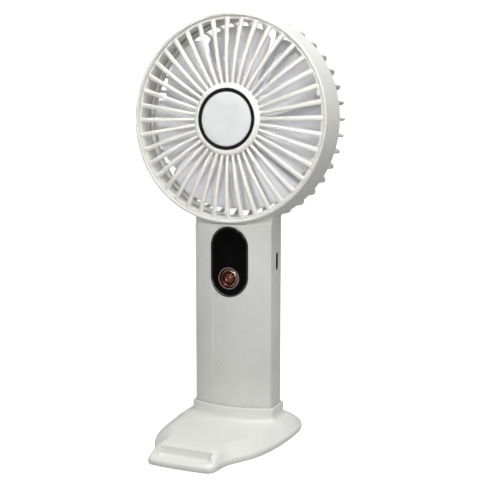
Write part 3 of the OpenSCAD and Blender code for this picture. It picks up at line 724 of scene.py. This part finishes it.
spoke_rings = []
for out in spread(0, 1, 20):
    radius = spoke_start + (spoke_end - spoke_start) * out
    front = rim_front - 0.8 + spoke_rise - spoke_bow_r + sqrt(spoke_bow_r ** 2 - (radius - spoke_middle) ** 2)
    foot = 0.5 * max(0, 1 - (spoke_end - radius) / 2.2) ** 2
    width = 1.45 + 1.05 * out + foot
    spoke_rings.append([(radius, -(front - spoke_depth / 2 + deep), head_z + across)
                        for across, deep in bar_section(width, spoke_depth, 14, 2.6)])
ivory_abs = moulded_abs("ivory_white_abs", "#f6f5ee", "#f2f1e9", 0.36)
front_guard = ring_of(soften(loft("front_guard", spoke_rings), angle=60), spoke_count)
collar = lathe("hub_collar", [(0, hub_face - 2.2), (0, hub_face - 3.6), (hub_r - 0.6, hub_face - 3.6), (hub_r,
                                                                                                        hub_face - 3),
                              (hub_r, hub_face - 1), (hub_r - 0.9, hub_face - 0.2), (14.7, hub_face), (14.7,
                                                                                                       hub_face - 2.2)],
               steps=144)
join(front_guard, soften(collar, 0.2, 3, 15),
     hoop("seat_ring", grille_ring_r - grille_ring_w, grille_ring_r, rim_front - 1.1, rim_front - 6, 0.4))
finish_piece(front_guard, ivory_abs, "shell_white", "fan", "front_grille")

# ---- Hub trim ----
# In the hub's collar sit a gloss black trim ring and a plain disc in pale silver, both pressed in.

trim_ring = hoop("trim_ring", 13, 14.7, hub_face - 0.1, hub_face - 2.2, 0.15, 144)
disc = lathe("hub_plate", [(0, hub_face - 2.2), (13, hub_face - 2.2), (13, hub_face - 0.5), (12.6, hub_face - 0.1),
                           (11, hub_face + 0.02), (6, hub_face + 0.08), (0, hub_face + 0.1)], steps=144)
gloss_black = moulded_abs("gloss_black_abs", "#070708", "#050506", 0.2, depth=0.003)
disc_silver = moulded_abs("satin_silver_lacquer", "#e2e5e4", "#dfe2e1", 0.36, grain=0.25, depth=0.006)
finish_piece(trim_ring, gloss_black, "trim_black", "fan", "hub_ring")
finish_piece(soften(disc, 0.15, 3, 25), disc_silver, "disc_silver_white", "fan", "hub_disc")

# ---- Display panel ----
# The panel is a smoked acrylic window that follows the bow of the handle, in a thin gloss black rim. It is dark
# until the display behind it lights up.


def face_y(x):
    """The handle's front face at a distance from its middle."""
    return bow_r - handle_back_y - sqrt(bow_r ** 2 - x ** 2)


def panel_ring(grow, depth):
    """A ring of the panel's outline, at a depth behind the handle's face."""
    return [(x, face_y(x) + depth, z) for x, z in panel_outline(grow)]


window_edge = [(-0.5 - across, -up) for across, up in quarter_round(0.35, 3)]
window_rings = [[(x, -handle_back_y + 2.4, z) for x, z in panel_outline(-0.5)]]
window_rings += [panel_ring(grow, depth) for grow, depth in window_edge]
window_rings += [panel_ring(grow, 0) for grow in spread(-1.6, -panel_half_w + 0.1, 7)]
window = loft("panel_window", window_rings)
button_low, button_high = node_box("power_button")
button_z = (button_low.z + button_high.z) / 2
button_r = button_high.x
hole_y = -handle_back_y
hole_outline = [(0, 20), (button_r + 0.6, 20), (button_r + 0.6, -hole_y + 0.02), (button_r + 0.3, -hole_y - 0.12),
                (button_r + 0.2, -hole_y - 0.5), (button_r + 0.2, -20), (0, -20)]
cut(window, lathe("button_hole", hole_outline, 0, button_z, 96))
smoked_acrylic = moulded_abs("smoked_acrylic", "#030303", "#020202", 0.07, grain=3.0, depth=0.001, shine=0.12)
finish_piece(soften(window, 0, angle=30), smoked_acrylic, "lens_black", "fan", "panel_lens")

rim_profile = [(0.5, 2.0), (0.5, 0.1), (0.38, -0.15), (0.1, -0.24), (-0.2, -0.18), (-0.42, 0.0), (-0.48, 0.25),
               (-0.48, 2.0),
               (0.5, 2.0)]
panel_rim = loft("panel_rim", [panel_ring(grow, depth) for grow, depth in rim_profile], hoop=True)
polished_black = moulded_abs("polished_black_abs", "#070708", "#050506", 0.1, depth=0.001, coat=1.0, shine=1.0)
finish_piece(soften(panel_rim, 0, angle=60), polished_black, "trim_black", "fan", "panel_bezel")

# ---- Power button ----
# The power button is turned from aluminium and anodised rose gold: a raised edge, a dished ring, a second ridge and
# a small domed boss in the middle.

face = -button_low.y
button_outline = [(0, face - 0.25), (0.5, face - 0.3), (1.0, face - 0.5), (1.3, face - 0.8), (1.6, face - 0.85),
                  (1.8, face - 0.7), (1.95, face - 0.6), (2.1, face - 0.7), (2.3, face - 0.95), (3.1, face - 1.0),
                  (3.35, face - 0.85), (3.45, face - 0.45), (3.6, face - 0.3), (3.75, face - 0.4), (3.9, face - 0.7),
                  (4.3, face - 0.85), (4.6, face - 0.75), (4.75, face - 0.3), (4.9, face - 0.06), (5.1, face),
                  (5.4, face - 0.06), (button_r, face - 0.3), (button_r, face - 3), (2.4, face - 3),
                  (2.4, -button_high.y), (0, -button_high.y)]
button = lathe("button_cap", button_outline, 0, button_z, 96)
rose_anodised, tree, place = new_material("rose_anodised_aluminium")
# Painted highlights and painted shade: by distance from the axis, the ridges and the middle dot are drawn bright and
# the dishes between them dark, so each ring shows a highlight
from_axis = add(tree, "ShaderNodeVectorMath", {0: place, 1: (0, 0, -button_z * mm)}, operation="ADD")
flat = add(tree, "ShaderNodeVectorMath", {0: from_axis.outputs["Vector"], 1: (1, 0, 1)}, operation="MULTIPLY")
radius = add(tree, "ShaderNodeVectorMath", {0: flat.outputs["Vector"]}, operation="LENGTH")
share = add(tree, "ShaderNodeMath", {0: radius.outputs["Value"], 1: button_r * mm}, operation="DIVIDE")
tone = add(tree, "ShaderNodeValToRGB", {"Fac": share.outputs["Value"]})
ring_painted_highlights_and_shade = [(0.0, "#e8cdc3"), (0.06, "#9a6254"), (0.42, "#8a5548"), (0.5, "#43201a"), (0.62, "#4a251e"),
              (0.66, "#e4c8bd"),
              (0.72, "#dcbcb0"), (0.77, "#53291f"), (0.87, "#5a2f25"), (0.92, "#ecd5cc"), (0.98, "#c79d8f")]
for i, (position, code) in enumerate(ring_painted_highlights_and_shade):
    stop = tone.color_ramp.elements[i] if i < 2 else tone.color_ramp.elements.new(position)
    stop.position, stop.color = position, linear(code)
turned = add(tree, "ShaderNodeTexNoise", {"Vector": place, "Scale": 1 / (0.25 * mm), "Detail": 3.0})
sheen = add(tree, "ShaderNodeMapRange", {"Value": turned.outputs["Fac"], "To Min": 0.16, "To Max": 0.3})
bump = add(tree, "ShaderNodeBump", {"Height": turned.outputs["Fac"], "Strength": 0.2, "Distance": 0.01 * mm})
end_material(tree, {"Base Color": tone.outputs["Color"], "Metallic": 1.0, "Roughness": sheen.outputs["Result"],
                    "Normal": bump.outputs["Normal"]})
finish_piece(soften(button, 0, angle=35), rose_anodised, "button_rose", "button", "power_button")

# ---- Studio ----
# A pale floor under large soft lights: one above, one in front to the right, a weaker one to the left and one
# behind. A narrow one brightens the head.

studio = bpy.context.scene
studio.view_settings.view_transform = "Standard"
bpy.ops.object.select_all(action="DESELECT")
bpy.ops.mesh.primitive_plane_add(size=30)
floor = take("floor")
floor_paint, tree, place = new_material("pale_floor")
mottle = add(tree, "ShaderNodeTexNoise", {"Vector": place, "Scale": 1 / (80 * mm)})
tone = add(tree, "ShaderNodeValToRGB", {"Fac": mottle.outputs["Fac"]})
tone.color_ramp.elements[0].color, tone.color_ramp.elements[1].color = linear("#f4f4f3"), linear("#f8f8f7")
seen = add(tree, "ShaderNodeLightPath").outputs["Is Camera Ray"]
glow = add(tree, "ShaderNodeMapRange", {"Value": seen, "To Min": 0.0, "To Max": 0.8})
dim = add(tree, "ShaderNodeMix", {"Factor": seen, 6: (0.32, 0.32, 0.32, 1), 7: tone.outputs["Color"]},
          data_type="RGBA")
end_material(tree, {"Base Color": dim.outputs[2], "Roughness": 0.7, "Emission Color": (1, 1, 1, 1),
                    "Emission Strength": glow.outputs["Result"]})
floor.data.materials.append(floor_paint)


def softbox(name, place, aim, width, height, watts, spread_angle=180):
    """A rectangular light at a place, turned to face a point."""
    lamp = bpy.data.lights.new(name, "AREA")
    lamp.shape, lamp.size, lamp.size_y, lamp.energy = "RECTANGLE", width, height, watts
    lamp.spread = radians(spread_angle)
    light = bpy.data.objects.new(name, lamp)
    studio.collection.objects.link(light)
    light.location = place
    light.rotation_euler = (Vector(aim) - Vector(place)).to_track_quat("-Z", "Y").to_euler()


middle = (0, 0, 0.11)
softbox("top_light", (0.2, -0.15, 1.0), middle, 0.8, 0.8, 7.0)
softbox("front_light", (0.75, -1.0, 0.56), middle, 0.45, 0.4, 4.3)
softbox("left_light", (-1.1, -0.5, 0.5), middle, 0.6, 0.8, 1.0)
softbox("back_light", (-0.5, 1.2, 0.95), middle, 0.7, 0.7, 1.0)
softbox("head_light", (0.1, -0.9, 0.5), (0, 0, head_z * mm + 0.015), 0.1, 0.1, 0.02, 10)
world = bpy.data.worlds.new("white_room")
studio.world = world
world.use_nodes = True
world.node_tree.nodes.clear()
seen = add(world.node_tree, "ShaderNodeLightPath").outputs["Is Camera Ray"]
strength = add(world.node_tree, "ShaderNodeMapRange", {"Value": seen, "To Min": 0.3, "To Max": 1.2})
room_light = add(world.node_tree, "ShaderNodeBackground", {"Color": (1, 1, 1, 1),
                                                           "Strength": strength.outputs["Result"]})
add(world.node_tree, "ShaderNodeOutputWorld", {"Surface": room_light.outputs["Background"]})

lens = bpy.data.cameras.new("camera")
lens.lens, lens.sensor_width = 66.14, 36.0
lens.clip_start = 0.02
camera = bpy.data.objects.new("camera", lens)
studio.collection.objects.link(camera)
camera.location = (0.17594, -0.39999, 0.14402)
camera.rotation_euler = (radians(90 - 6.325), 0, radians(23.62))
studio.camera = camera
